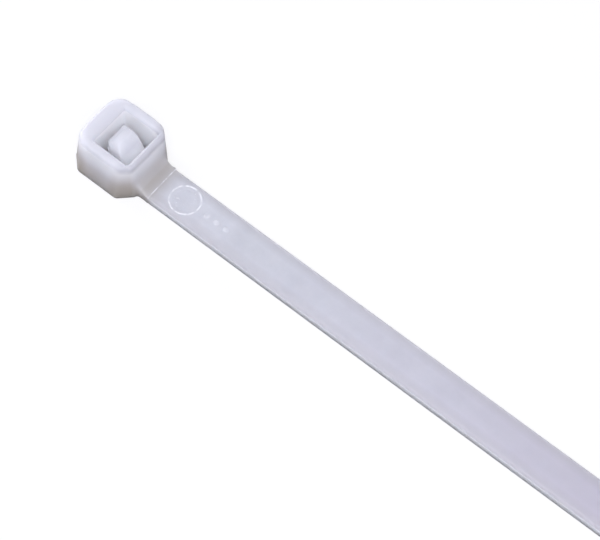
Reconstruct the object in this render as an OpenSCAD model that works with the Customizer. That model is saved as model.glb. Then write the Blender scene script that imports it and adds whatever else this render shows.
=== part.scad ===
// Self-locking cable tie, moulded in one piece: a head with an integral pawl, a toothed strap
// and a tapered tail.
// The origin is on the underside, in the middle of the path that the strap takes up through the head.
// +X runs along the strap from the head to the tail, +Y across it, and +Z out of the head's exit face.

/* [Strap] */
// Length from the back of the head to the tip of the tail
overall_l = 200; // [120:5:300]
// Width of the strap
strap_w = 4.8; // [4.5:0.1:5]
// Thickness of the strap
strap_t = 1.25; // [1.15:0.05:1.35]
// Radius along the edges of the smooth side
smooth_edge_r = 0.45; // [0.2:0.05:0.5]
// Radius along the edges of the toothed side
toothed_edge_r = 0.15; // [0.05:0.05:0.25]

/* [Teeth] */
// Distance from one tooth to the next
tooth_pitch = 1.2; // [1.1:0.05:1.3]
// Height of a tooth from its root to its crest
tooth_h = 0.44; // [0.35:0.01:0.5]
// Flat on each crest
crest_land = 0.15; // [0.1:0.05:0.25]
// Depth of the crests below the side rails
crest_recess = 0.06; // [0.04:0.01:0.1]
// Width of each smooth rail beside the teeth
rail_w = 0.55; // [0.4:0.05:0.7]
// Plain length of strap between the neck and the teeth
plain_l = 10.5; // [8:0.5:16]

/* [Head] */
// Length of the head along the strap, at its base
head_l = 8.5; // [8.4:0.1:9]
// Width of the head at its base
head_w = 8.6; // [8.4:0.1:9.4]
// Height of the head
head_h = 5.6; // [5.4:0.1:6]
// Amount by which each side leans in from the base to the top
head_draft = 0.55; // [0.3:0.05:0.6]
// Corner radius of the head at its base
corner_r = 1.95; // [1.7:0.05:2.2]
// Depth of the flat on each corner at the base, measured from where the sides would meet
corner_cut_base = 1.1; // [0.9:0.05:1.2]
// Depth of that flat at the top
corner_cut_top = 0.74; // [0.6:0.02:0.8]
// Radius around the top edge
top_edge_r = 0.3; // [0.15:0.05:0.35]
// Radius around the base edge
base_edge_r = 0.2; // [0.1:0.05:0.3]
// Width of the rim between the opening and the far side, at the top
far_rim = 1.9; // [1.7:0.1:1.9]
// Width of the rim between the opening and the strap's side, at the top
near_rim = 0.7; // [0.6:0.02:0.8]
// Gap on each side of the strap as it passes through the head
side_play = 0.22; // [0.15:0.01:0.25]
// Gap in front of and behind the strap before the pawl presses on it
face_play = 0.08; // [0.05:0.01:0.1]
// Height of the floor in the gap behind the pawl
floor_h = 1.7; // [1.6:0.05:1.8]
// Length of that floor between the pawl and the front wall
floor_l = 0.5; // [0.4:0.05:0.6]
// Radius where that floor meets the front wall
floor_r = 0.4; // [0.2:0.05:0.45]
// Size of the bevel round the opening in the exit face
lip = 0.2; // [0.1:0.02:0.22]
// Size of the bevels that lead the tail into the slot
lead_in = 0.35; // [0.2:0.05:0.4]

/* [Pawl] */
// Width of the pawl across the slot
pawl_w = 3.2; // [3:0.1:3.6]
// Number of teeth on the pawl
pawl_teeth = 3; // [2:1:3]
// Clear width between the far wall and the pawl's lowest tooth
pawl_gap = 0.85; // [0.8:0.05:0.95]
// Extra gap that each higher tooth leaves
pawl_lean = 0.05; // [0.02:0.01:0.1]
// Depth of the pawl's tip below the exit face
tip_drop = 0.25; // [0.2:0.05:0.4]
// Height of the tip above the pawl's top tooth
tip_h = 0.45; // [0.35:0.05:0.6]
// Length of the pawl's flat tip
tip_land = 0.85; // [0.7:0.05:0.95]
// Radius along the front edge of the tip
tip_edge_r = 0.12; // [0.05:0.01:0.15]
// Radius where the tip turns into the pawl's back
pawl_back_r = 0.8; // [0.5:0.1:0.9]
// Radius of the pawl's two upper corners
pawl_corner_r = 1.3; // [0.8:0.1:1.4]
// Length of the web under the front wall that carries the pawl
web_l = 1.1; // [1:0.05:1.2]
// Drop from the floor behind the pawl to the hollow under it, which sets how thick its hinge is
hinge_drop = 0.5; // [0.4:0.05:0.6]

/* [Neck] */
// Radius that blends the head into the smooth side of the strap
neck_r = 1.7; // [1.2:0.1:2]
// Radius that widens the strap into the head
flare_r = 0.8; // [0.6:0.1:1]
// Width left at the top of the neck, where it runs out on the head
neck_top_w = 3.6; // [3:0.1:4]
// Height of the small step where the neck ends
neck_step = 0.04; // [0.02:0.01:0.06]

/* [Tail] */
// Length of the tapered tail
tail_l = 24; // [18:1:30]
// Width of the tail just before its tip
tip_w = 2.6; // [2.2:0.1:3]
// Thickness of the tail
tail_t = 0.85; // [0.7:0.05:0.95]
// Length over which the strap gets thinner towards the tail
thinning_l = 8; // [6:1:12]
// How far before the tail it starts to get thinner
thinning_lead = 2; // [1:0.5:4]
// Plain length between the last tooth and the tail
teeth_stop = 6; // [5:1:12]
// Radius of the tip's corners
tip_r = 1.1; // [0.8:0.1:1.1]
// Number of ribs that give the fingers a grip
grip_ribs = 9; // [5:1:10]
// Distance from one rib to the next
rib_pitch = 1.5; // [1.3:0.1:1.6]
// Height of a rib
rib_h = 0.22; // [0.15:0.01:0.25]
// Width of a rib at its foot
rib_foot_w = 0.8; // [0.6:0.05:0.9]
// Width of a rib along its top
rib_top_w = 0.3; // [0.2:0.05:0.4]

/* [Moulding marks] */
// Diameter of the round witness left by an ejector pin
pin_mark_d = 3; // [2:0.2:3.4]
// Depth of that witness
pin_mark_depth = 0.06; // [0.04:0.01:0.08]
// Distance from the neck's end to the middle of that witness
pin_mark_offset = 3.4; // [2.4:0.2:4.4]
// Number of small raised dots after it
dots = 3; // [1:1:4]
// Diameter of a dot
dot_d = 0.6; // [0.4:0.1:0.8]
// Height of a dot
dot_h = 0.06; // [0.04:0.01:0.1]
// Distance from the neck's end to the first dot
dot_offset = 6.2; // [6:0.1:7]
// Distance from one dot to the next
dot_pitch = 1.3; // [1:0.1:2]

/* [Hidden] */
$fn = 64;
// Pieces that cut or join run past each other by this much
over = 1;
// Straight steps in each rounded corner of an outline
arc_steps = 6;
// An arc that would fill a whole side stops this short of it
hair = 0.001;
// The strap starts this far inside the front wall of the head
strap_inset = 0.2;
// The flats on the head's corners are turned by this much from its sides
flat_turn = 45;
// The foot of the neck runs on into the head by this much past its flare
flare_run = 0.6;

// Stations along X
far_wall_x = -(strap_t / 2 + face_play);
head_back_x = far_wall_x - far_rim - head_draft;
head_front_x = head_back_x + head_l;
strap_wall_x = head_front_x - head_draft - near_rim;
web_x = strap_wall_x - web_l;
strap_start_x = strap_wall_x + strap_inset;
tip_x = head_back_x + overall_l;
tail_x = tip_x - tail_l;

// The front face of the head leans back, so its place depends on the height
function front_face_x(z) = head_front_x - head_draft * z / head_h;
front_face_lean = atan(head_draft / head_h);
neck_reach = neck_r / tan((90 + front_face_lean) / 2);
neck_top_z = strap_t + neck_step + neck_reach * cos(front_face_lean);
neck_end_x = front_face_x(strap_t + neck_step) + neck_reach;

// Distance from the head's middle to the flat on each corner, along the diagonal
head_mid_x = (head_back_x + head_front_x) / 2;
flat_reach = (head_l + head_w) / sqrt(8);
flat_base = flat_reach - corner_cut_base;
flat_top = flat_reach - head_draft * sqrt(2) - corner_cut_top;
function flat_at(z) = flat_base + (flat_top - flat_base) * z / head_h;

// The teeth run from the plain length to just before the tail
track_w = strap_w - 2 * rail_w;
root_z = crest_recess + tooth_h;
first_tooth_x = neck_end_x + plain_l;
tooth_count = floor((tail_x - teeth_stop - first_tooth_x) / tooth_pitch);

slot_w = strap_w + 2 * side_play;

function unit(v) = v / norm(v);

// Points of the arc that rounds corner b between the straight lines to a and c
function corner_arc(a, b, c, r) =
    let (
        to_a = unit(a - b),
        to_c = unit(c - b),
        half = acos(to_a * to_c) / 2,
        reach = r / tan(half),
        centre = b + unit(to_a + to_c) * r / sin(half),
        from = b + to_a * reach - centre,
        to = b + to_c * reach - centre,
        start = atan2(from.y, from.x),
        sweep = (atan2(to.y, to.x) - start + 540) % 360 - 180
    )
    [
        for (i = [0 : arc_steps])
            let (angle = start + sweep * i / arc_steps)
            centre + r * [cos(angle), sin(angle)]
    ];

// Outline through corners given as [x, y, radius], where radius 0 leaves the corner sharp
function rounded_outline(corners) =
    let (n = len(corners), at = [for (c = corners) [c[0], c[1]]])
    [
        for (i = [0 : n - 1])
            each corners[i][2] > 0
                ? corner_arc(at[(i + n - 1) % n], at[i], at[(i + 1) % n], corners[i][2])
                : [at[i]]
    ];

// Plate whose outline is drawn in X and Z, centred across the strap
module across(width) {
    rotate([90, 0, 0])
        linear_extrude(width, center = true) children();
}

// Bar whose section is drawn in Y and Z, from one station along the strap to another
module along(from_x, to_x) {
    translate([from_x, 0, 0])
        rotate([90, 0, 90])
            linear_extrude(to_x - from_x) children();
}

// Box with one leaning side profile carried round all four sides and corners
module leaning_box() {
    top_r = corner_r - head_draft;
    core_back_x = head_back_x + corner_r;
    core_front_x = head_front_x - corner_r;
    core_y = head_w / 2 - corner_r;
    side = rounded_outline([
        [0, 0, 0],
        [corner_r, 0, base_edge_r],
        [top_r, head_h, top_edge_r],
        [0, head_h, 0]
    ]);
    rim = [for (p = side) if (p.x > 0) p];
    mirrored_rim = [for (i = [len(rim) - 1 : -1 : 0]) [-rim[i].x, rim[i].y]];
    for (x = [core_back_x, core_front_x], y = [-core_y, core_y])
        translate([x, y, 0])
            rotate_extrude() polygon(side);
    across(2 * core_y)
        polygon(concat(
            [for (p = rim) [core_front_x + p.x, p.y]],
            [for (p = mirrored_rim) [core_back_x + p.x, p.y]]
        ));
    along(core_back_x, core_front_x)
        polygon(concat(
            [for (p = rim) [core_y + p.x, p.y]],
            [for (p = mirrored_rim) [p.x - core_y, p.y]]
        ));
}

// Two slabs set across the head's diagonals, whose sides are the flats on its corners
module corner_flats() {
    translate([head_mid_x, 0, 0])
        intersection_for (turn = [-flat_turn, flat_turn])
            rotate(turn)
                across(2 * flat_reach)
                    polygon(rounded_outline([
                        [-flat_base, 0, base_edge_r],
                        [flat_base, 0, base_edge_r],
                        [flat_top, head_h, top_edge_r],
                        [-flat_top, head_h, top_edge_r]
                    ]));
}

// Outside of the head
module head_block() {
    intersection() {
        leaning_box();
        corner_flats();
    }
}

// Space inside the head: the slot for the strap, open to the floor behind the pawl
module head_opening() {
    across(slot_w)
        polygon(rounded_outline([
            [far_wall_x, -over, 0],
            [far_wall_x, head_h + over, 0],
            [strap_wall_x, head_h + over, 0],
            [strap_wall_x, floor_h, floor_r],
            [web_x, floor_h, 0],
            [web_x, -over, 0]
        ]));
    intersection() {
        across(slot_w + 2 * lip)
            polygon([
                [far_wall_x, head_h - lip],
                [strap_wall_x, head_h - lip],
                [strap_wall_x + lip, head_h],
                [strap_wall_x + lip, head_h + over],
                [far_wall_x - lip, head_h + over],
                [far_wall_x - lip, head_h]
            ]);
        along(far_wall_x - lip, strap_wall_x + lip)
            polygon([
                [-slot_w / 2, head_h - lip],
                [slot_w / 2, head_h - lip],
                [slot_w / 2 + lip, head_h],
                [slot_w / 2 + lip, head_h + over],
                [-slot_w / 2 - lip, head_h + over],
                [-slot_w / 2 - lip, head_h]
            ]);
    }
    intersection() {
        across(slot_w + 2 * lead_in)
            polygon([
                [far_wall_x - lead_in, -over],
                [web_x, -over],
                [web_x, lead_in],
                [far_wall_x, lead_in],
                [far_wall_x - lead_in, 0]
            ]);
        along(far_wall_x - lead_in, web_x)
            polygon([
                [-slot_w / 2 - lead_in, -over],
                [slot_w / 2 + lead_in, -over],
                [slot_w / 2 + lead_in, 0],
                [slot_w / 2, lead_in],
                [-slot_w / 2, lead_in],
                [-slot_w / 2 - lead_in, 0]
            ]);
    }
}

// Tongue that bends on a thin hinge and locks the strap: steep faces up, slopes down
module pawl() {
    tip_z = head_h - tip_drop;
    low_crest_x = far_wall_x + pawl_gap;
    top_crest_z = tip_z - tip_h;
    tip_front_x = low_crest_x + pawl_lean * (pawl_teeth - 1) + tooth_h;
    under_z = floor_h - hinge_drop;
    teeth = [
        for (i = [0 : pawl_teeth - 1])
            let (
                x = low_crest_x + pawl_lean * i,
                z = top_crest_z - tooth_pitch * (pawl_teeth - 1 - i)
            )
            each [
                [x + tooth_h - pawl_lean, z - tooth_pitch + crest_land, 0],
                [x, z - crest_land, 0],
                [x, z, 0],
                [x + tooth_h, z, 0]
            ]
    ];
    intersection() {
        across(pawl_w)
            polygon(rounded_outline(concat(
                [
                    [web_x + floor_l, floor_h, 0],
                    [web_x + floor_l, under_z, 0],
                    [web_x, under_z, 0]
                ],
                teeth,
                [
                    [tip_front_x, tip_z, tip_edge_r],
                    [tip_front_x + tip_land, tip_z, pawl_back_r],
                    [strap_wall_x - floor_l, floor_h, 0]
                ]
            )));
        along(far_wall_x, strap_wall_x)
            polygon(rounded_outline([
                [-pawl_w / 2, 0, 0],
                [pawl_w / 2, 0, 0],
                [pawl_w / 2, tip_z, pawl_corner_r],
                [-pawl_w / 2, tip_z, pawl_corner_r]
            ]));
    }
}

// Half of the neck's plan: an arc that leaves the strap's edge and runs out along the corner's flat
function flare_arc() =
    let (
        centre_y = strap_w / 2 + flare_r,
        flat_x = head_mid_x + flat_at(neck_top_z) * sqrt(2) - centre_y,
        centre_x = flat_x + flare_r * sqrt(2)
    )
    [
        for (i = [0 : arc_steps])
            let (angle = 180 + flat_turn + (90 - flat_turn) * i / arc_steps)
            [centre_x + flare_r * cos(angle), centre_y + flare_r * sin(angle)]
    ];

// Blend from the front of the head down to the smooth side of the strap, flared where it meets the head
module neck() {
    flare = flare_arc();
    far_flare = [for (i = [len(flare) - 1 : -1 : 0]) [flare[i].x, -flare[i].y]];
    foot_x = flare[0].x - flare_run;
    foot_y = flare[0].y + flare_run;
    intersection() {
        across(head_w)
            polygon(rounded_outline([
                [strap_start_x, 0, 0],
                [neck_end_x, 0, 0],
                [neck_end_x, strap_t + neck_step, 0],
                [front_face_x(strap_t + neck_step), strap_t + neck_step, neck_r - hair],
                [front_face_x(neck_top_z), neck_top_z, 0],
                [strap_start_x, neck_top_z, 0]
            ]));
        linear_extrude(neck_top_z)
            polygon(concat(
                [[foot_x, -foot_y], [strap_start_x, -foot_y], [strap_start_x, foot_y], [foot_x, foot_y]],
                flare,
                [[neck_end_x + over, strap_w / 2], [neck_end_x + over, -strap_w / 2]],
                far_flare
            ));
        along(strap_start_x, neck_end_x)
            polygon([
                [-foot_y, 0],
                [foot_y, 0],
                [foot_y, strap_t - smooth_edge_r],
                [neck_top_w / 2, neck_top_z],
                [-neck_top_w / 2, neck_top_z],
                [-foot_y, strap_t - smooth_edge_r]
            ]);
    }
}

// Outline of the strap seen from above, narrowing to the tip
module strap_outline() {
    polygon(rounded_outline([
        [strap_start_x, -strap_w / 2, 0],
        [tail_x, -strap_w / 2, 0],
        [tip_x, -tip_w / 2, tip_r],
        [tip_x, tip_w / 2, tip_r],
        [tail_x, strap_w / 2, 0],
        [strap_start_x, strap_w / 2, 0]
    ]));
}

// Strap and tail before the teeth are cut
module strap_blank() {
    thin_x = tail_x - thinning_lead + thinning_l;
    intersection() {
        along(strap_start_x, tip_x)
            polygon(rounded_outline([
                [-strap_w / 2, 0, toothed_edge_r],
                [strap_w / 2, 0, toothed_edge_r],
                [strap_w / 2, strap_t, smooth_edge_r],
                [-strap_w / 2, strap_t, smooth_edge_r]
            ]));
        linear_extrude(strap_t) strap_outline();
        across(strap_w + over)
            polygon([
                [strap_start_x, 0],
                [tip_x, 0],
                [tip_x, tail_t],
                [thin_x, tail_t],
                [thin_x - thinning_l, strap_t],
                [strap_start_x, strap_t]
            ]);
    }
}

// Space between the side rails and under the teeth
// Each tooth is steep towards the head and sloped towards the tail
module tooth_track() {
    saw = [
        for (i = [0 : tooth_count])
            let (x = first_tooth_x + i * tooth_pitch)
            each [
                [x - tooth_pitch + crest_land, crest_recess],
                [x, root_z],
                [x, crest_recess]
            ]
    ];
    last_x = first_tooth_x + tooth_count * tooth_pitch;
    across(track_w)
        polygon(concat([[first_tooth_x - tooth_pitch + crest_land, -over]], saw, [[last_x, -over]]));
}

// Low ribs across the smooth side of the tail, cut to its outline
module tail_ribs() {
    first_rib_x = tip_x - tip_r - (grip_ribs - 1) * rib_pitch - rib_foot_w;
    intersection() {
        across(strap_w)
            for (i = [0 : grip_ribs - 1])
                translate([first_rib_x + i * rib_pitch, tail_t])
                    polygon([
                        [-rib_foot_w / 2, -rib_h],
                        [rib_foot_w / 2, -rib_h],
                        [rib_top_w / 2, rib_h],
                        [-rib_top_w / 2, rib_h]
                    ]);
        linear_extrude(strap_t) strap_outline();
    }
}

// Shallow round witness of an ejector pin
module pin_mark() {
    translate([neck_end_x + pin_mark_offset, 0, strap_t - pin_mark_depth])
        cylinder(h = over, d = pin_mark_d);
}

// Small raised dots in a row along the strap
module mould_dots() {
    for (i = [0 : dots - 1])
        translate([neck_end_x + dot_offset + dot_pitch * i, 0, strap_t - dot_h])
            cylinder(h = 2 * dot_h, d = dot_d);
}

// The whole tie, in pale natural nylon
module cable_tie() {
    color("#dcdce8") {
        difference() {
            union() {
                head_block();
                neck();
                strap_blank();
            }
            head_opening();
            tooth_track();
            pin_mark();
        }
        pawl();
        tail_ribs();
        mould_dots();
    }
}

cable_tie();
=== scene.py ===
import math

import bmesh
import bpy
from mathutils import Matrix, Vector


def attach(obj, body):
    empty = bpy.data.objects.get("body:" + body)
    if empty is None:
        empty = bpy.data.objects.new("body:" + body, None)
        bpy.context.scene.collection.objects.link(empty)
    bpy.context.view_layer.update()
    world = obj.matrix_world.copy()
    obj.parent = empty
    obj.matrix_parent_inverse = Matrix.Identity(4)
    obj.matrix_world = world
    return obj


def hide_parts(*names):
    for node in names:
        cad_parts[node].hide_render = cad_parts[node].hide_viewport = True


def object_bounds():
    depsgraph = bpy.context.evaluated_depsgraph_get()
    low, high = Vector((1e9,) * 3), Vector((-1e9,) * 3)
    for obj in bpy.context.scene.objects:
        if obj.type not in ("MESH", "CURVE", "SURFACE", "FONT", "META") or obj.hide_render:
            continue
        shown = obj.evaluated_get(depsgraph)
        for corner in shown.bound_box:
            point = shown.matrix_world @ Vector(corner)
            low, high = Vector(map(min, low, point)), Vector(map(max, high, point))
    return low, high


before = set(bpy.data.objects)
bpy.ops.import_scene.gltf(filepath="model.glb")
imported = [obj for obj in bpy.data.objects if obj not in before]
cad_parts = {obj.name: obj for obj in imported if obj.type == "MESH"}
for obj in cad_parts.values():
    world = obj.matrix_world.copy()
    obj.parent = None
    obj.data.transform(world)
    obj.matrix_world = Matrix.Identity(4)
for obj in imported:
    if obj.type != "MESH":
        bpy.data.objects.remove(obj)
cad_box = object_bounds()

# ---- Natural nylon ----
# The whole tie is one shot of natural nylon 6/6 from a cooled steel mould. It is milky and lets
# light into its skin, so edges never turn hard. Glow on thin walls and shade on thick parts are
# painted into its colour below.

MM = 0.001


def linear(hex_colour):
    """An sRGB hex colour as the linear RGBA that a shader takes."""
    channels = [int(hex_colour[i:i + 2], 16) / 255 for i in (1, 3, 5)]
    return [c / 12.92 if c <= 0.04045 else ((c + 0.055) / 1.055) ** 2.4 for c in channels] + [1.0]


def add_node(tree, kind, links=None, **settings):
    """One node, with its settings by name, its values by input name or number, and its links."""
    node = tree.nodes.new(kind)
    inputs = settings.pop("inputs", {})
    for name, value in settings.items():
        setattr(node, name, value)
    for name, value in inputs.items():
        node.inputs[name].default_value = value
    for name, source in (links or {}).items():
        tree.links.new(source, node.inputs[name])
    return node


nylon = bpy.data.materials.new("natural_nylon_moulded")
nylon.use_nodes = True
tree = nylon.node_tree
tree.nodes.clear()
place = add_node(tree, "ShaderNodeTexCoord").outputs["Object"]
split = add_node(tree, "ShaderNodeSeparateXYZ", {"Vector": place})
across_y = add_node(tree, "ShaderNodeMath", {0: split.outputs["Y"]}, operation="ABSOLUTE")

# Slow clouding where the melt cooled at different rates
NYLON_HEX = "#eeeef0"
NYLON_CLOUD_HEX = "#d3d3d8"
CLOUD_SIZE = 3.0 * MM
clouds = add_node(tree, "ShaderNodeTexNoise", {"Vector": place},
                  inputs={"Scale": 1 / CLOUD_SIZE, "Detail": 4.0, "Roughness": 0.7})
cloudy = add_node(tree, "ShaderNodeMix", {"Factor": clouds.outputs["Fac"]}, data_type="RGBA",
                  inputs={"A": linear(NYLON_HEX), "B": linear(NYLON_CLOUD_HEX)})

# The strap is thin enough to show the faint violet cast of natural nylon, and a painted falloff of
# light darkens it away from the head
VIOLET_FALLOFF_HEX = "#cbc4ce"
VIOLET_FALLOFF_FROM = 14.0 * MM
VIOLET_FALLOFF_TO = 75.0 * MM
along = add_node(tree, "ShaderNodeMapRange", {"Value": split.outputs["X"]},
                 inputs={"From Min": VIOLET_FALLOFF_FROM, "From Max": VIOLET_FALLOFF_TO})
# painted falloff of light: the strap turns darker and more violet away from the head
violet_and_falloff = add_node(tree, "ShaderNodeMix", {"Factor": along.outputs["Result"],
                                        "A": cloudy.outputs["Result"]},
                data_type="RGBA", inputs={"B": linear(VIOLET_FALLOFF_HEX)})

# Painted shade near the strap's two edges makes its top a touch darker there, and painted light
# makes its thin sides paler
NECK_END_X = 6.7615 * MM
EDGE_SHADE_HEX = "#b9b6b7"
EDGE_FROM = 1.0 * MM
EDGE_TO = 2.3 * MM
SIDE_FROM = 2.37 * MM
PAINTED_GLOW_HEX = "#ffffff"
past_neck = add_node(tree, "ShaderNodeMapRange", {"Value": split.outputs["X"]},
                     inputs={"From Min": NECK_END_X - 0.5 * MM,
                             "From Max": NECK_END_X + 1.0 * MM})
near_edge = add_node(tree, "ShaderNodeMapRange", {"Value": across_y.outputs["Value"]},
                     inputs={"From Min": EDGE_FROM, "From Max": EDGE_TO, "To Max": 0.75})
edge = add_node(tree, "ShaderNodeMath", {0: near_edge.outputs["Result"],
                                         1: past_neck.outputs["Result"]}, operation="MULTIPLY")
# painted shade on the strap's top near its edges
edge_shaded = add_node(tree, "ShaderNodeMix", {"Factor": edge.outputs["Value"],
                                         "A": violet_and_falloff.outputs["Result"]},
                 data_type="RGBA", inputs={"B": linear(EDGE_SHADE_HEX)})
side_face = add_node(tree, "ShaderNodeMapRange", {"Value": across_y.outputs["Value"]},
                     inputs={"From Min": EDGE_TO, "From Max": SIDE_FROM})
side = add_node(tree, "ShaderNodeMath", {0: side_face.outputs["Result"],
                                         1: past_neck.outputs["Result"]}, operation="MULTIPLY")
# painted light on the strap's sides
painted_light_sides = add_node(tree, "ShaderNodeMix", {"Factor": side.outputs["Value"],
                                              "A": edge_shaded.outputs["Result"]},
                      data_type="RGBA", inputs={"B": linear(PAINTED_GLOW_HEX)})

# Painted shade: the foot of the head and the neck are painted darker and warmer, more so towards
# the bottom of the head, but the walls of the slot are left out
FOOT_SHADE_HEX = "#bdb6ac"
FOOT_H = 4.6 * MM
NECK_SHADE = 0.78
SLOT_MIDDLE = 1.695 * MM
SLOT_L = 4.8 * MM
SLOT_W = 5.24 * MM
SLOT_SKIN = (1.06, 1.12)
in_head = add_node(tree, "ShaderNodeMapRange", {"Value": split.outputs["X"]},
                   interpolation_type="SMOOTHSTEP",
                   inputs={"From Min": NECK_END_X - 1.0 * MM, "From Max": NECK_END_X + 2.0 * MM,
                           "To Min": 1.0, "To Max": 0.0})
depth = add_node(tree, "ShaderNodeMapRange", {"Value": split.outputs["Z"]},
                 inputs={"From Min": 0.0, "From Max": FOOT_H, "To Min": 1.0, "To Max": 0.0})
from_slot = add_node(tree, "ShaderNodeMapping", {"Vector": place}, vector_type="TEXTURE",
                     inputs={"Location": (SLOT_MIDDLE, 0, 0),
                             "Scale": (SLOT_L / 2, SLOT_W / 2, 1.0)})
aside = add_node(tree, "ShaderNodeVectorMath", {0: from_slot.outputs["Vector"]},
                 operation="ABSOLUTE")
aside_split = add_node(tree, "ShaderNodeSeparateXYZ", {"Vector": aside.outputs["Vector"]})
out_of_slot = add_node(tree, "ShaderNodeMath", {0: aside_split.outputs["X"],
                                                1: aside_split.outputs["Y"]},
                       operation="MAXIMUM")
outside = add_node(tree, "ShaderNodeMapRange", {"Value": out_of_slot.outputs["Value"]},
                   inputs={"From Min": SLOT_SKIN[0], "From Max": SLOT_SKIN[1]})
foot = add_node(tree, "ShaderNodeMath", {0: depth.outputs["Result"],
                                         1: outside.outputs["Result"]}, operation="MULTIPLY")
over_neck = add_node(tree, "ShaderNodeMapRange", {"Value": split.outputs["X"]},
                     interpolation_type="SMOOTHSTEP",
                     inputs={"From Min": NECK_END_X - 1.65 * MM,
                             "From Max": NECK_END_X - 0.85 * MM, "To Max": NECK_SHADE})
foot_or_neck = add_node(tree, "ShaderNodeMath", {0: foot.outputs["Value"],
                                                 1: over_neck.outputs["Result"]},
                        operation="MAXIMUM")
foot_and_neck_shade = add_node(tree, "ShaderNodeMath", {0: foot_or_neck.outputs["Value"],
                                          1: in_head.outputs["Result"]}, operation="MULTIPLY")
# painted shade, darker and warmer low on the head and over the neck
foot_shaded = add_node(tree, "ShaderNodeMix", {"Factor": foot_and_neck_shade.outputs["Value"],
                                         "A": painted_light_sides.outputs["Result"]},
                 data_type="RGBA", inputs={"B": linear(FOOT_SHADE_HEX)})

# Painted light: a white glow is painted on the head's upper sides below the rim, and all the way
# down in the slot, except on the pawl's back
GLOW_FROM = 2.2 * MM
GLOW_FULL = 5.2 * MM
RIM_FROM = 5.05 * MM
RIM_FULL = 5.35 * MM
PAWL_SHARE = (0.75, 0.85)
PAWL_BACK_FROM = 2.6 * MM
PAWL_BACK_FULL = 3.8 * MM
near_rim = add_node(tree, "ShaderNodeMapRange", {"Value": split.outputs["Z"]},
                    interpolation_type="SMOOTHSTEP",
                    inputs={"From Min": GLOW_FROM, "From Max": GLOW_FULL})
below_rim = add_node(tree, "ShaderNodeMapRange", {"Value": split.outputs["Z"]},
                     inputs={"From Min": RIM_FROM, "From Max": RIM_FULL,
                             "To Min": 1.0, "To Max": 0.0})
off_pawl = add_node(tree, "ShaderNodeMapRange", {"Value": out_of_slot.outputs["Value"]},
                    inputs={"From Min": PAWL_SHARE[0], "From Max": PAWL_SHARE[1]})
below_back = add_node(tree, "ShaderNodeMapRange", {"Value": split.outputs["Z"]},
                      inputs={"From Min": PAWL_BACK_FROM, "From Max": PAWL_BACK_FULL,
                              "To Min": 1.0, "To Max": 0.0})
off_back = add_node(tree, "ShaderNodeMath", {0: off_pawl.outputs["Result"],
                                             1: below_back.outputs["Result"]},
                    operation="MAXIMUM")
in_slot = add_node(tree, "ShaderNodeMath", {0: off_back.outputs["Value"],
                                            1: outside.outputs["Result"]}, operation="SUBTRACT")
upper_sides = add_node(tree, "ShaderNodeMath", {0: near_rim.outputs["Result"],
                                                1: off_pawl.outputs["Result"]},
                       operation="MULTIPLY")
lit = add_node(tree, "ShaderNodeMath", {0: upper_sides.outputs["Value"],
                                        1: in_slot.outputs["Value"]}, operation="MAXIMUM")
lit_in_head = add_node(tree, "ShaderNodeMath", {0: lit.outputs["Value"],
                                                1: in_head.outputs["Result"]},
                       operation="MULTIPLY")
painted_glow = add_node(tree, "ShaderNodeMath", {0: lit_in_head.outputs["Value"],
                                         1: below_rim.outputs["Result"]}, operation="MULTIPLY")
# painted light, a white glow on the upper sides and in the slot
with_painted_glow = add_node(tree, "ShaderNodeMix", {"Factor": painted_glow.outputs["Value"],
                                           "A": foot_shaded.outputs["Result"]},
                   data_type="RGBA", inputs={"B": linear(PAINTED_GLOW_HEX)})

# Painted shade on the head's four corners, darker the lower down
CORNER_SHADE_HEX = "#a89f90"
HEAD_MIDDLE = 1.095 * MM
CORNER_FROM = 5.3 * MM
CORNER_FULL = 6.7 * MM
CORNER_SHADE_STRENGTH = 0.62
off_middle = add_node(tree, "ShaderNodeMath", {0: split.outputs["X"]}, operation="SUBTRACT",
                      inputs={1: HEAD_MIDDLE})
across_x = add_node(tree, "ShaderNodeMath", {0: off_middle.outputs["Value"]},
                    operation="ABSOLUTE")
to_corner = add_node(tree, "ShaderNodeMath", {0: across_x.outputs["Value"],
                                              1: across_y.outputs["Value"]})
in_corner = add_node(tree, "ShaderNodeMapRange", {"Value": to_corner.outputs["Value"]},
                     interpolation_type="SMOOTHSTEP",
                     inputs={"From Min": CORNER_FROM, "From Max": CORNER_FULL})
low_down = add_node(tree, "ShaderNodeMapRange", {"Value": split.outputs["Z"]},
                    inputs={"From Min": 1.0 * MM, "From Max": 7.0 * MM,
                            "To Min": CORNER_SHADE_STRENGTH, "To Max": 0.0})
off_strap = add_node(tree, "ShaderNodeMapRange", {"Value": across_y.outputs["Value"]},
                     inputs={"From Min": 2.4 * MM, "From Max": 3.0 * MM})
low_corner = add_node(tree, "ShaderNodeMath", {0: in_corner.outputs["Result"],
                                               1: low_down.outputs["Result"]},
                      operation="MULTIPLY")
corner_shade = add_node(tree, "ShaderNodeMath", {0: low_corner.outputs["Value"],
                                                1: off_strap.outputs["Result"]},
                       operation="MULTIPLY")
# painted shade on the head's corners
corner_shaded = add_node(tree, "ShaderNodeMix", {"Factor": corner_shade.outputs["Value"],
                                            "A": with_painted_glow.outputs["Result"]},
                    data_type="RGBA", inputs={"B": linear(CORNER_SHADE_HEX)})

# Painted shade on the rim's top, darker still where it rounds over on the strap's side
RIM_SHADE_HEX = "#d4d4d7"
STRAP_SIDE_RIM_SHADE_HEX = "#bebec2"
rim_top = add_node(tree, "ShaderNodeMapRange", {"Value": split.outputs["Z"]},
                   inputs={"From Min": RIM_FROM, "From Max": RIM_FULL})
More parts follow.
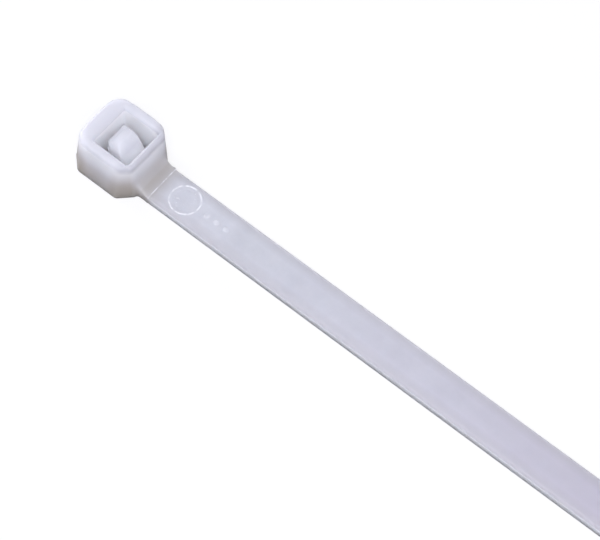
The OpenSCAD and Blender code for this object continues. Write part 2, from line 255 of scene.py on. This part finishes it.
# painted shade on the rim's top
rim_shaded = add_node(tree, "ShaderNodeMix", {"Factor": rim_top.outputs["Result"],
                                            "A": corner_shaded.outputs["Result"]},
                    data_type="RGBA", inputs={"B": linear(RIM_SHADE_HEX)})
thin_side = add_node(tree, "ShaderNodeMapRange", {"Value": split.outputs["X"]},
                     interpolation_type="SMOOTHSTEP",
                     inputs={"From Min": 2.8 * MM, "From Max": 4.2 * MM})
rim_round = add_node(tree, "ShaderNodeMapRange", {"Value": split.outputs["Z"]},
                     interpolation_type="SMOOTHSTEP",
                     inputs={"From Min": 4.4 * MM, "From Max": 5.3 * MM})
strap_side_rim_shade = add_node(tree, "ShaderNodeMath", {0: thin_side.outputs["Result"],
                                             1: rim_round.outputs["Result"]},
                    operation="MULTIPLY")
# more painted shade on the strap's side of the rim
with_strap_side_rim_shade = add_node(tree, "ShaderNodeMix", {"Factor": strap_side_rim_shade.outputs["Value"],
                                                 "A": rim_shaded.outputs["Result"]},
                         data_type="RGBA", inputs={"B": linear(STRAP_SIDE_RIM_SHADE_HEX)})

# A few specks of burnt material, as any bag of natural ties shows
SPECK_HEX = "#a9a49b"
SPECK_SPACING = 2.6 * MM
specks = add_node(tree, "ShaderNodeTexVoronoi", {"Vector": place},
                  inputs={"Scale": 1 / SPECK_SPACING, "Randomness": 1.0})
speck = add_node(tree, "ShaderNodeMapRange", {"Value": specks.outputs["Distance"]},
                 inputs={"From Min": 0.012, "From Max": 0.03, "To Min": 0.5, "To Max": 0.0})
specked = add_node(tree, "ShaderNodeMix", {"Factor": speck.outputs["Result"],
                                           "A": with_strap_side_rim_shade.outputs["Result"]},
                   data_type="RGBA", inputs={"B": linear(SPECK_HEX)})

# Moulded skin: a satin grain, and faint drag lines along the strap from the mould's polish. The
# real ones are a few hundredths of a millimetre wide, so they are drawn coarser to show.
GRAIN_SIZE = 0.22 * MM
DRAG_LENGTH = 5.0 * MM
DRAG_WIDTH = 0.25 * MM
grain = add_node(tree, "ShaderNodeTexNoise", {"Vector": place},
                 inputs={"Scale": 1 / GRAIN_SIZE, "Detail": 2.0, "Roughness": 0.6})
along_strap = add_node(tree, "ShaderNodeMapping", {"Vector": place},
                       inputs={"Scale": (1 / DRAG_LENGTH, 1 / DRAG_WIDTH, 1 / DRAG_WIDTH)})
drag = add_node(tree, "ShaderNodeTexNoise", {"Vector": along_strap.outputs["Vector"]},
                inputs={"Scale": 1.0, "Detail": 3.0, "Roughness": 0.6})
roughness = add_node(tree, "ShaderNodeMapRange", {"Value": drag.outputs["Fac"]},
                     inputs={"From Min": 0.3, "From Max": 0.7, "To Min": 0.46, "To Max": 0.58})

# Sink marks: the smooth side dips a little over each tooth that the strap has on its other side
TOOTH_PITCH = 1.2 * MM
SINK_RUN_IN = (15.5 * MM, 18.5 * MM)
SINK_RUN_OUT = (165.0 * MM, 166.5 * MM)
phase = add_node(tree, "ShaderNodeMath", {0: split.outputs["X"]}, operation="MULTIPLY",
                 inputs={1: 2 * math.pi / TOOTH_PITCH})
wave = add_node(tree, "ShaderNodeMath", {0: phase.outputs["Value"]}, operation="SINE")
past_first = add_node(tree, "ShaderNodeMapRange", {"Value": split.outputs["X"]},
                      inputs={"From Min": SINK_RUN_IN[0], "From Max": SINK_RUN_IN[1]})
before_last = add_node(tree, "ShaderNodeMapRange", {"Value": split.outputs["X"]},
                       inputs={"From Min": SINK_RUN_OUT[0], "From Max": SINK_RUN_OUT[1],
                               "To Min": 1.0, "To Max": 0.0})
over_track = add_node(tree, "ShaderNodeMapRange", {"Value": across_y.outputs["Value"]},
                      inputs={"From Min": 1.5 * MM, "From Max": 2.0 * MM,
                              "To Min": 1.0, "To Max": 0.0})
toothed = add_node(tree, "ShaderNodeMath", {0: past_first.outputs["Result"],
                                            1: before_last.outputs["Result"]},
                   operation="MULTIPLY")
sunk = add_node(tree, "ShaderNodeMath", {0: toothed.outputs["Value"],
                                         1: over_track.outputs["Result"]}, operation="MULTIPLY")
sink = add_node(tree, "ShaderNodeMath", {0: wave.outputs["Value"], 1: sunk.outputs["Value"]},
                operation="MULTIPLY")

# Thin edges left by the mould are painted white, partly whitened nylon and partly painted
# highlight: the broken line round the ejector pin's witness, and a painted highlight on the step
# across the strap where the neck ends
RING_X = NECK_END_X + 3.22 * MM
RING_D = 3.5 * MM
flat_place = add_node(tree, "ShaderNodeVectorMath", {0: place}, operation="MULTIPLY",
                      inputs={1: (1.0, 1.0, 0.0)})
from_ring = add_node(tree, "ShaderNodeVectorMath", {0: flat_place.outputs["Vector"]},
                     operation="DISTANCE", inputs={1: (RING_X, 0.0, 0.0)})
off_ring = add_node(tree, "ShaderNodeMath", {0: from_ring.outputs["Value"]},
                    operation="SUBTRACT", inputs={1: RING_D / 2})
ring_gap = add_node(tree, "ShaderNodeMath", {0: off_ring.outputs["Value"]},
                    operation="ABSOLUTE")
ring = add_node(tree, "ShaderNodeMapRange", {"Value": ring_gap.outputs["Value"]},
                interpolation_type="SMOOTHSTEP",
                inputs={"From Min": 0.03 * MM, "From Max": 0.15 * MM,
                        "To Min": 1.0, "To Max": 0.0})
off_step = add_node(tree, "ShaderNodeMath", {0: split.outputs["X"]}, operation="SUBTRACT",
                    inputs={1: NECK_END_X})
step_gap = add_node(tree, "ShaderNodeMath", {0: off_step.outputs["Value"]},
                    operation="ABSOLUTE")
step_highlight = add_node(tree, "ShaderNodeMapRange", {"Value": step_gap.outputs["Value"]},
                     interpolation_type="SMOOTHSTEP",
                     inputs={"From Min": 0.02 * MM, "From Max": 0.1 * MM,
                             "To Min": 0.7, "To Max": 0.0})

# Three dots stand after the ring, painted whiter than the strap
FIRST_DOT_X = NECK_END_X + 6.2 * MM
DOT_PITCH = 1.3 * MM
DOTS = 3
DOT_D = 0.6 * MM
dot_row = add_node(tree, "ShaderNodeMath", {0: split.outputs["X"]}, operation="WRAP",
                   inputs={1: FIRST_DOT_X + DOT_PITCH / 2, 2: FIRST_DOT_X - DOT_PITCH / 2})
from_dot = add_node(tree, "ShaderNodeMath", {0: dot_row.outputs["Value"]},
                    operation="SUBTRACT", inputs={1: FIRST_DOT_X})
dot_place = add_node(tree, "ShaderNodeCombineXYZ", {"X": from_dot.outputs["Value"],
                                                    "Y": split.outputs["Y"]})
dot_gap = add_node(tree, "ShaderNodeVectorMath", {0: dot_place.outputs["Vector"]},
                   operation="LENGTH")
dot = add_node(tree, "ShaderNodeMapRange", {"Value": dot_gap.outputs["Value"]},
               interpolation_type="SMOOTHSTEP",
               inputs={"From Min": DOT_D / 2 - 0.05 * MM, "From Max": DOT_D / 2 + 0.06 * MM,
                       "To Min": 0.4, "To Max": 0.0})
off_dots = add_node(tree, "ShaderNodeMath", {0: split.outputs["X"]}, operation="SUBTRACT",
                    inputs={1: FIRST_DOT_X + DOT_PITCH * (DOTS - 1) / 2})
dots_gap = add_node(tree, "ShaderNodeMath", {0: off_dots.outputs["Value"]},
                    operation="ABSOLUTE")
in_row = add_node(tree, "ShaderNodeMath", {0: dots_gap.outputs["Value"]},
                  operation="LESS_THAN", inputs={1: DOT_PITCH * DOTS / 2})
row_of_dots = add_node(tree, "ShaderNodeMath", {0: dot.outputs["Result"],
                                                1: in_row.outputs["Value"]},
                       operation="MULTIPLY")

# Painted glints: a few bright flecks inside the ring
FLECK_SIZE = 0.35 * MM
inside_ring = add_node(tree, "ShaderNodeMapRange", {"Value": off_ring.outputs["Value"]},
                       inputs={"From Min": -0.35 * MM, "From Max": -0.2 * MM,
                               "To Min": 0.75, "To Max": 0.0})
flecks = add_node(tree, "ShaderNodeTexNoise", {"Vector": place},
                  inputs={"Scale": 1 / FLECK_SIZE, "Detail": 2.0, "Roughness": 0.7})
few_flecks = add_node(tree, "ShaderNodeMapRange", {"Value": flecks.outputs["Fac"]},
                      inputs={"From Min": 0.6, "From Max": 0.72})
fleck_glints = add_node(tree, "ShaderNodeMath", {0: inside_ring.outputs["Result"],
                                           1: few_flecks.outputs["Result"]},
                  operation="MULTIPLY")

# All these marks, part whitened nylon and part painted highlight, are on the smooth side only and
# broken up
FLASH_AND_GLINT_HEX = "#ffffff"
FLASH_BREAK = 0.6 * MM
ring_and_step = add_node(tree, "ShaderNodeMath", {0: ring.outputs["Result"],
                                                  1: step_highlight.outputs["Result"]},
                         operation="MAXIMUM")
with_flecks = add_node(tree, "ShaderNodeMath", {0: ring_and_step.outputs["Value"],
                                                1: fleck_glints.outputs["Value"]},
                       operation="MAXIMUM")
marks = add_node(tree, "ShaderNodeMath", {0: with_flecks.outputs["Value"],
                                          1: row_of_dots.outputs["Value"]},
                 operation="MAXIMUM")
on_smooth_side = add_node(tree, "ShaderNodeMapRange", {"Value": split.outputs["Z"]},
                          inputs={"From Min": 1.0 * MM, "From Max": 1.1 * MM})
mark_there = add_node(tree, "ShaderNodeMath", {0: marks.outputs["Value"],
                                               1: on_smooth_side.outputs["Result"]},
                      operation="MULTIPLY")
breaks = add_node(tree, "ShaderNodeTexNoise", {"Vector": place},
                  inputs={"Scale": 1 / FLASH_BREAK, "Detail": 1.0})
broken = add_node(tree, "ShaderNodeMapRange", {"Value": breaks.outputs["Fac"]},
                  inputs={"From Min": 0.38, "From Max": 0.6, "To Min": 0.25, "To Max": 1.0})
flash_and_glint = add_node(tree, "ShaderNodeMath", {0: mark_there.outputs["Value"],
                                          1: broken.outputs["Result"]}, operation="MULTIPLY")
# white painted in, partly whitened nylon and partly painted highlights and glints
whitened_and_glinting = add_node(tree, "ShaderNodeMix", {"Factor": flash_and_glint.outputs["Value"],
                                            "A": specked.outputs["Result"]},
                    data_type="RGBA", inputs={"B": linear(FLASH_AND_GLINT_HEX)})

# The marks let no light in, stand up from the skin, and the other relief lies over them
FLASH_H = 0.04 * MM
SINK_H = 0.0055 * MM
DRAG_H = 0.012 * MM
GRAIN_H = 0.008 * MM
frosted = add_node(tree, "ShaderNodeMapRange", {"Value": flash_and_glint.outputs["Value"]},
                   inputs={"To Min": 1.0, "To Max": 0.1})
flash_bump = add_node(tree, "ShaderNodeBump", {"Height": flash_and_glint.outputs["Value"]},
                      inputs={"Strength": 1.0, "Distance": FLASH_H})
sink_bump = add_node(tree, "ShaderNodeBump", {"Height": sink.outputs["Value"],
                                              "Normal": flash_bump.outputs["Normal"]},
                     inputs={"Strength": 1.0, "Distance": SINK_H})
drag_bump = add_node(tree, "ShaderNodeBump", {"Height": drag.outputs["Fac"],
                                              "Normal": sink_bump.outputs["Normal"]},
                     inputs={"Strength": 0.5, "Distance": DRAG_H})
grain_bump = add_node(tree, "ShaderNodeBump", {"Height": grain.outputs["Fac"],
                                               "Normal": drag_bump.outputs["Normal"]},
                      inputs={"Strength": 0.5, "Distance": GRAIN_H})

# Nylon's own index of refraction, and milk-white scatter that reaches through the thin walls
NYLON_IOR = 1.53
SCATTER_DEPTH = 3.5 * MM
SCATTER_TINT = (1.0, 0.95, 0.92)
surface = add_node(tree, "ShaderNodeBsdfPrincipled",
                   {"Base Color": whitened_and_glinting.outputs["Result"],
                    "Roughness": roughness.outputs["Result"],
                    "Subsurface Weight": frosted.outputs["Result"],
                    "Normal": grain_bump.outputs["Normal"]},
                   inputs={"IOR": NYLON_IOR, "Subsurface Radius": SCATTER_TINT,
                           "Subsurface Scale": SCATTER_DEPTH, "Subsurface Anisotropy": 0.3})
add_node(tree, "ShaderNodeOutputMaterial", {"Surface": surface.outputs["BSDF"]})

# ---- Head, pawl and neck ----
# The box-shaped head with the locking pawl in its slot, and the neck that runs down into the
# strap with its ejector-pin witness and dots. The steel that forms it has soft edges all round.

PLAIN_END = 16.1 * MM
SKIN_CELL = 0.085 * MM
HAIR = 0.0001 * MM


def cut_off(mesh, x):
    """Takes away all of a mesh that lies past x, and leaves it open there."""
    bmesh.ops.bisect_plane(mesh, geom=[*mesh.verts, *mesh.edges, *mesh.faces],
                           plane_co=(x, 0, 0), plane_no=(1, 0, 0), clear_outer=True)


head_mesh = bmesh.new()
head_mesh.from_mesh(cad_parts["cable_tie"].data)
bmesh.ops.remove_doubles(head_mesh, verts=head_mesh.verts, dist=HAIR)
cut_off(head_mesh, PLAIN_END + 1.0 * MM)
bmesh.ops.holes_fill(head_mesh, edges=[e for e in head_mesh.edges if e.is_boundary])
bmesh.ops.recalc_face_normals(head_mesh, faces=head_mesh.faces)
rough = bpy.data.meshes.new("head_rough")
head_mesh.to_mesh(rough)
head_mesh.free()

maker = bpy.data.objects.new("head_maker", rough)
bpy.context.scene.collection.objects.link(maker)
skin = maker.modifiers.new("skin", "REMESH")
skin.mode = "VOXEL"
skin.voxel_size = SKIN_CELL
soften = maker.modifiers.new("soften", "SMOOTH")
soften.factor = 0.5
soften.iterations = 4
tie = bmesh.new()
tie.from_mesh(bpy.data.meshes.new_from_object(
    maker.evaluated_get(bpy.context.evaluated_depsgraph_get())))
bpy.data.objects.remove(maker)
cut_off(tie, PLAIN_END)

# Steel worn soft gives the head rounder edges than the strap: most at its four corners, on the
# pawl and where the neck widens, least on the rim of the slot
HEAD_PART = NECK_END_X - 0.3 * MM
NECK_FROM = 4.5 * MM
NECK_RISE = (0.5 * MM, 3.3 * MM)
NECK_SPREAD = 1.9 * MM
PAWL_REACH = (0.1 * MM, 4.0 * MM)
PAWL_RISE = (1.9 * MM, 5.45 * MM)
PAWL_HALF = 1.75 * MM
FOOT_TOP = 0.3 * MM
RIM_X = (-1.1 * MM, 4.45 * MM)
RIM_HALF = 2.95 * MM
CORNER_REACH = 5.2 * MM
body_verts = [v for v in tie.verts if v.co.x < HEAD_PART]
pawl_verts = [v for v in body_verts if PAWL_REACH[0] < v.co.x < PAWL_REACH[1]
              and abs(v.co.y) < PAWL_HALF and PAWL_RISE[0] < v.co.z < PAWL_RISE[1]]
blend_verts = [v for v in body_verts if v.co.x > NECK_FROM and abs(v.co.y) > NECK_SPREAD
               and NECK_RISE[0] < v.co.z < NECK_RISE[1]]
outside_verts = [v for v in body_verts if v.co.z > FOOT_TOP and v.co.x < NECK_FROM
                 and (abs(v.co.y) > RIM_HALF or not RIM_X[0] < v.co.x < RIM_X[1])]
corner_verts = [v for v in outside_verts
                if abs(v.co.x - HEAD_MIDDLE) + abs(v.co.y) > CORNER_REACH]
for verts, passes in ((body_verts, 8), (outside_verts, 24), (pawl_verts, 14),
                      (blend_verts, 24), (corner_verts, 70)):
    for _ in range(passes):
        bmesh.ops.smooth_vert(tie, verts=verts, factor=0.5, use_axis_x=True, use_axis_y=True,
                              use_axis_z=True)

# ---- Toothed strap ----
# Flat strap with two smooth rails and a track of ratchet teeth sunk between them on one side.
# Each tooth is the same cut in the steel, so one link of the strap is made and then repeated.

STRAP_W = 4.8 * MM
STRAP_T = 1.25 * MM
SMOOTH_EDGE_R = 0.45 * MM
TOOTHED_EDGE_R = 0.15 * MM
TRACK_W = 3.7 * MM
CREST = 0.06 * MM
ROOT = 0.5 * MM
CREST_LAND = 0.15 * MM
FIRST_LINK = 17.2575 * MM
LINKS = 124
SMOOTH_STEPS = 4
TOOTHED_STEPS = 2


def section(x, width=STRAP_W, top=STRAP_T, depth=0.0, round_r=SMOOTH_EDGE_R):
    """Points round the strap at x: rounded edges above and below, and the track's cut below."""
    half = width / 2
    right = []
    for i in range(SMOOTH_STEPS + 1):
        angle = math.radians(90 - 90 * i / SMOOTH_STEPS)
        right.append((half - round_r + round_r * math.cos(angle),
                      top - round_r + round_r * math.sin(angle)))
    for i in range(TOOTHED_STEPS + 1):
        angle = math.radians(-90 * i / TOOTHED_STEPS)
        right.append((half - TOOTHED_EDGE_R + TOOTHED_EDGE_R * math.cos(angle),
                      TOOTHED_EDGE_R + TOOTHED_EDGE_R * math.sin(angle)))
    track_half = min(TRACK_W / 2, half - 2 * TOOTHED_EDGE_R)
    right += [(track_half, 0.0), (track_half, depth)]
    left = [(-y, z) for y, z in reversed(right)]
    return [Vector((x, y, z)) for y, z in right + left]


def loft(name, rings, close_last=False):
    """A skin through rings of equal count, which follow each other along the strap."""
    mesh = bmesh.new()
    rows = [[mesh.verts.new(point) for point in ring] for ring in rings]
    count = len(rows[0])
    for near, far in zip(rows, rows[1:]):
        for i in range(count):
            j = (i + 1) % count
            mesh.faces.new((near[i], far[i], far[j], near[j]))
    if close_last:
        mesh.faces.new(rows[-1])
    made = bpy.data.meshes.new(name)
    mesh.to_mesh(made)
    mesh.free()
    return made


one_link = loft("one_link", [section(0, depth=ROOT), section(0, depth=CREST),
                             section(CREST_LAND, depth=CREST), section(TOOTH_PITCH, depth=ROOT)])
link_object = bpy.data.objects.new("one_link", one_link)


def repeat_tree(name):
    """Geometry Nodes that set one link down again and again along the strap."""
    group = bpy.data.node_groups.new(name, "GeometryNodeTree")
    group.interface.new_socket("Geometry", in_out="OUTPUT", socket_type="NodeSocketGeometry")
    for label, kind in (("Geometry", "NodeSocketGeometry"), ("Link", "NodeSocketObject"),
                        ("Count", "NodeSocketInt"), ("Pitch", "NodeSocketFloat"),
                        ("Start", "NodeSocketFloat"), ("Nylon", "NodeSocketMaterial")):
        group.interface.new_socket(label, in_out="INPUT", socket_type=kind)
    given = add_node(group, "NodeGroupInput").outputs
    start = add_node(group, "ShaderNodeCombineXYZ", {"X": given["Start"]})
    step = add_node(group, "ShaderNodeCombineXYZ", {"X": given["Pitch"]})
    stations = add_node(group, "GeometryNodeMeshLine",
                        {"Count": given["Count"], "Start Location": start.outputs["Vector"],
                         "Offset": step.outputs["Vector"]}, mode="OFFSET")
    link = add_node(group, "GeometryNodeObjectInfo", {"Object": given["Link"]})
    links = add_node(group, "GeometryNodeInstanceOnPoints",
                     {"Points": stations.outputs["Mesh"], "Instance": link.outputs["Geometry"]})
    real = add_node(group, "GeometryNodeRealizeInstances", {"Geometry": links.outputs["Instances"]})
    painted = add_node(group, "GeometryNodeSetMaterial",
                       {"Geometry": real.outputs["Geometry"], "Material": given["Nylon"]})
    add_node(group, "NodeGroupOutput", {"Geometry": painted.outputs["Geometry"]})
    return group


repeat = repeat_tree("repeat_along_strap")


def repeated(name, link, count, pitch, start):
    """The plain mesh of one link, repeated along the strap."""
    holder = bpy.data.objects.new(name, bpy.data.meshes.new(name))
    bpy.context.scene.collection.objects.link(holder)
    setter = holder.modifiers.new("repeat", "NODES")
    setter.node_group = repeat
    values = {"Link": link, "Count": count, "Pitch": pitch, "Start": start, "Nylon": nylon}
    for item in repeat.interface.items_tree:
        if item.in_out == "INPUT" and item.name in values:
            setter[item.identifier] = values[item.name]
    made = bpy.data.meshes.new_from_object(
        holder.evaluated_get(bpy.context.evaluated_depsgraph_get()))
    bpy.data.objects.remove(holder)
    return made


teeth_mesh = repeated("toothed_track", link_object, LINKS, TOOTH_PITCH, FIRST_LINK)
bpy.data.objects.remove(link_object)

# The plain strap that comes before the first tooth, with the ramp down to its root. It starts a
# narrow seam away from the head's part of the strap.
SEAM = 0.04 * MM
PLAIN_START = PLAIN_END + SEAM
LEAD_START = FIRST_LINK - TOOTH_PITCH + CREST_LAND
lead_mesh = loft("plain_lead", [section(PLAIN_START), section(LEAD_START),
                                section(LEAD_START, depth=CREST), section(FIRST_LINK, depth=ROOT)])

# ---- Tail ----
# The end that is threaded through the head: thinner than the strap, tapered in width, with ribs
# across the smooth side for the fingers. Ribs and tip are part of the same moulding.

LAST_LINK = FIRST_LINK + LINKS * TOOTH_PITCH
TAIL_START = 172.845 * MM
TIP = 196.845 * MM
TIP_W = 2.6 * MM
TIP_R = 1.1 * MM
TIP_STEPS = 6
TAIL_T = 0.85 * MM
TAIL_EDGE_R = 0.25 * MM
THIN_FROM = TAIL_START - 2 * MM
THIN_TO = TAIL_START + 6 * MM
RIBS = 9
RIB_PITCH = 1.5 * MM
RIB_FOOT = 0.8 * MM
RIB_TOP = 0.3 * MM
RIB_H = 0.22 * MM


def tail_width(x):
    """Width of the tail at x: straight taper, then the two rounded corners of the tip."""
    taper = min(max((x - TAIL_START) / (TIP - TAIL_START), 0), 1)
    width = STRAP_W + (TIP_W - STRAP_W) * taper
    into_corner = max(x - (TIP - TIP_R), 0)
    return width - 2 * (TIP_R - math.sqrt(max(TIP_R ** 2 - into_corner ** 2, 0)))


def tail_top(x):
    """Height of the smooth side, before the ribs."""
    thinned = min(max((x - THIN_FROM) / (THIN_TO - THIN_FROM), 0), 1)
    return STRAP_T + (TAIL_T - STRAP_T) * thinned


first_rib = TIP - TIP_R - (RIBS - 1) * RIB_PITCH - RIB_FOOT
half_foot = (RIB_FOOT + RIB_TOP) / 4
rises = [(THIN_FROM, 0.0), (TAIL_START, 0.0), (THIN_TO, 0.0)]
for i in range(RIBS):
    middle = first_rib + i * RIB_PITCH
    rises += [(middle - half_foot, 0.0), (middle - RIB_TOP / 2, RIB_H),
              (middle + RIB_TOP / 2, RIB_H), (middle + half_foot, 0.0)]
for i in range(1, TIP_STEPS + 1):
    rises.append((TIP - TIP_R * (1 - math.sin(math.radians(90 * i / TIP_STEPS))), 0.0))
tail_rings = [section(LAST_LINK, depth=ROOT), section(LAST_LINK)]
tail_rings += [section(x, width=tail_width(x), top=tail_top(x) + rise, round_r=TAIL_EDGE_R)
               for x, rise in rises]
tail_mesh = loft("ribbed_tail", tail_rings, close_last=True)

# ---- The whole tie ----
# Nothing is assembled on the real tie, so the lead, the links and the tail are merged into one
# closed skin, and that is sewn to the softened head round the plain strap.

NEAR = 0.001 * MM
SHARP = math.radians(35)

for part_mesh in (lead_mesh, teeth_mesh, tail_mesh):
    tie.from_mesh(part_mesh)
strap_verts = [v for v in tie.verts if v.co.x > PLAIN_END + NEAR]
bmesh.ops.remove_doubles(tie, verts=strap_verts, dist=2 * NEAR)
strap_edges = [e for e in tie.edges if e.verts[0].co.x > PLAIN_END + NEAR]
bmesh.ops.dissolve_degenerate(tie, edges=strap_edges, dist=HAIR)
head_ring = [v for v in tie.verts if abs(v.co.x - PLAIN_END) < NEAR and v.is_boundary]
strap_ring = [v for v in tie.verts if abs(v.co.x - PLAIN_START) < NEAR and v.is_boundary]


def turn(vert):
    """Angle of a point round the middle of the strap."""
    return math.atan2(vert.co.z - STRAP_T / 2, vert.co.y)


def turn_after(ring, i):
    """Angle of the point that follows the i-th one of a ring, a whole turn on for the first."""
    return turn(ring[i + 1]) if i + 1 < len(ring) else math.tau + turn(ring[0])


head_ring.sort(key=turn)
strap_ring.sort(key=turn)
i = j = 0
while i < len(head_ring) or j < len(strap_ring):
    a, b = head_ring[i % len(head_ring)], strap_ring[j % len(strap_ring)]
    head_is_next = turn_after(head_ring, i) <= turn_after(strap_ring, j)
    if j >= len(strap_ring) or (i < len(head_ring) and head_is_next):
        i += 1
        tie.faces.new((a, b, head_ring[i % len(head_ring)]))
    else:
        j += 1
        tie.faces.new((a, b, strap_ring[j % len(strap_ring)]))
bmesh.ops.recalc_face_normals(tie, faces=tie.faces)
for vert in tie.verts:
    for axis in range(3):
        vert.co[axis] = min(max(vert.co[axis], cad_box[0][axis]), cad_box[1][axis])
for face in tie.faces:
    face.smooth = True
for edge in tie.edges:
    edge.smooth = edge.calc_face_angle(0) <= SHARP
body = bpy.data.meshes.new("cable_tie_moulding")
tie.to_mesh(body)
tie.free()
body.materials.clear()
body.materials.append(nylon)
moulding = bpy.data.objects.new("cable_tie_moulding", body)
bpy.context.scene.collection.objects.link(moulding)
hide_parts("cable_tie")
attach(moulding, "root")

# ---- Floor and backdrop ----
# A sheet of matt white board under the tie. To the camera it is lifted almost to white, and it
# keeps the soft shadow of the tie. Light that leaves it counts as from a duller board, so that it
# doesn't wash out the tie's lower sides, but under the slot it is plain white board.

PAPER_HEX = "#5c5956"
WHITE_HEX = "#ffffff"
LIFT = 0.8
SLOT_REACH = 2.9 * MM
FLOOR_REACH = 3.0
FLOOR_Z = -0.02 * MM

board = bpy.data.materials.new("white_board")
board.use_nodes = True
tree = board.node_tree
tree.nodes.clear()
duller = add_node(tree, "ShaderNodeBsdfDiffuse", inputs={"Color": linear(PAPER_HEX)})
plain = add_node(tree, "ShaderNodeBsdfDiffuse", inputs={"Color": linear(WHITE_HEX)})
lift = add_node(tree, "ShaderNodeEmission", inputs={"Color": linear(WHITE_HEX), "Strength": 1.0})
lifted = add_node(tree, "ShaderNodeMixShader",
                  {1: plain.outputs["BSDF"], 2: lift.outputs["Emission"]}, inputs={0: LIFT})
rays = add_node(tree, "ShaderNodeLightPath")
open_floor = add_node(tree, "ShaderNodeMixShader",
                      {0: rays.outputs["Is Camera Ray"], 1: duller.outputs["BSDF"],
                       2: lifted.outputs["Shader"]})
floor_place = add_node(tree, "ShaderNodeTexCoord").outputs["Object"]
from_slot = add_node(tree, "ShaderNodeVectorMath", {0: floor_place}, operation="DISTANCE",
                     inputs={1: (SLOT_MIDDLE, 0.0, 0.0)})
under_slot = add_node(tree, "ShaderNodeMath", {0: from_slot.outputs["Value"]},
                      operation="LESS_THAN", inputs={1: SLOT_REACH})
whole = add_node(tree, "ShaderNodeMixShader",
                 {0: under_slot.outputs["Value"], 1: open_floor.outputs["Shader"],
                  2: plain.outputs["BSDF"]})
add_node(tree, "ShaderNodeOutputMaterial", {"Surface": whole.outputs["Shader"]})

floor_mesh = bpy.data.meshes.new("floor")
floor_mesh.from_pydata([(x * FLOOR_REACH, y * FLOOR_REACH, FLOOR_Z)
                        for x, y in ((-1, -1), (1, -1), (1, 1), (-1, 1))], [], [(0, 1, 2, 3)])
floor_mesh.materials.append(board)
floor = bpy.data.objects.new("floor", floor_mesh)
bpy.context.scene.collection.objects.link(floor)

# ---- Light ----
# Soft boxes round the head in a dim room, as in a small light tent: the main one by the camera,
# and weaker ones behind, at both sides and low in front. Their light falls off along the strap.

COOL_HEX = "#f1f2ff"
ROOM_STRENGTH = 0.04
SOFT_BOXES = (
    # name, place, what it is turned to, width of the box and power, in metres and watts
    ("back_box", (-0.06, 0.42, 0.07), (0.005, 0, 0), 0.16, 0.85),
    ("left_box", (-0.42, 0.03, 0.07), (0, 0, 0), 0.16, 1.4),
    ("far_box", (-0.15, -0.02, 0.20), (0.01, 0, 0), 0.12, 0.16),
    ("camera_box", (0.15, -0.19, 0.42), (0.01, 0, 0), 0.24, 1.75),
    ("right_box", (0.34, 0.02, 0.28), (0.01, 0, 0), 0.16, 0.45),
    ("near_box", (-0.02, -0.42, 0.07), (0.02, 0, 0), 0.14, 0.6),
)

room = bpy.data.worlds.new("room")
bpy.context.scene.world = room
room.use_nodes = True
tree = room.node_tree
tree.nodes.clear()
dim = add_node(tree, "ShaderNodeBackground",
               inputs={"Color": linear(COOL_HEX), "Strength": ROOM_STRENGTH})
white = add_node(tree, "ShaderNodeBackground",
                 inputs={"Color": linear(WHITE_HEX), "Strength": 1.0})
rays = add_node(tree, "ShaderNodeLightPath")
backdrop = add_node(tree, "ShaderNodeMixShader",
                    {0: rays.outputs["Is Camera Ray"], 1: dim.outputs["Background"],
                     2: white.outputs["Background"]})
add_node(tree, "ShaderNodeOutputWorld", {"Surface": backdrop.outputs["Shader"]})

for name, stand, aim, width, power in SOFT_BOXES:
    lamp = bpy.data.lights.new(name, "AREA")
    lamp.shape = "SQUARE"
    lamp.size = width
    lamp.energy = power
    lamp.color = linear(COOL_HEX)[:3]
    soft_box = bpy.data.objects.new(name, lamp)
    soft_box.location = stand
    soft_box.rotation_euler = (Vector(aim) - Vector(stand)).to_track_quat("-Z", "Y").to_euler()
    bpy.context.scene.collection.objects.link(soft_box)

# ---- Camera ----
# It stands where the tie's outlines fall on those of the photograph, about 0.2 m away and above
# the side of the strap, rolled a little. The focal length is in pixels of the 600 px wide image.

AZIMUTH, ELEVATION, ROLL = (math.radians(a) for a in (30.01, 62.49, 9.07))
FOCAL_PX = 1986.2
IMAGE_W = 600
SENSOR_W = 36
NEAREST = 0.01
DISTANCE = 211.92 * MM
TARGET = Vector((24.31, 1.90, 0)) * MM

back = Vector((math.sin(AZIMUTH) * math.cos(ELEVATION),
               -math.cos(AZIMUTH) * math.cos(ELEVATION), math.sin(ELEVATION)))
level = Vector((math.cos(AZIMUTH), math.sin(AZIMUTH), 0))
rise = back.cross(level)
right = level * math.cos(ROLL) + rise * math.sin(ROLL)
upward = rise * math.cos(ROLL) - level * math.sin(ROLL)
lens = bpy.data.cameras.new("camera")
lens.sensor_width = SENSOR_W
lens.lens = FOCAL_PX * SENSOR_W / IMAGE_W
lens.clip_start = NEAREST
camera = bpy.data.objects.new("camera", lens)
stand = Matrix((right, upward, back)).transposed().to_4x4()
stand.translation = TARGET + back * DISTANCE
camera.matrix_world = stand
bpy.context.scene.collection.objects.link(camera)
bpy.context.scene.camera = camera
bpy.context.scene.view_settings.view_transform = "Standard"
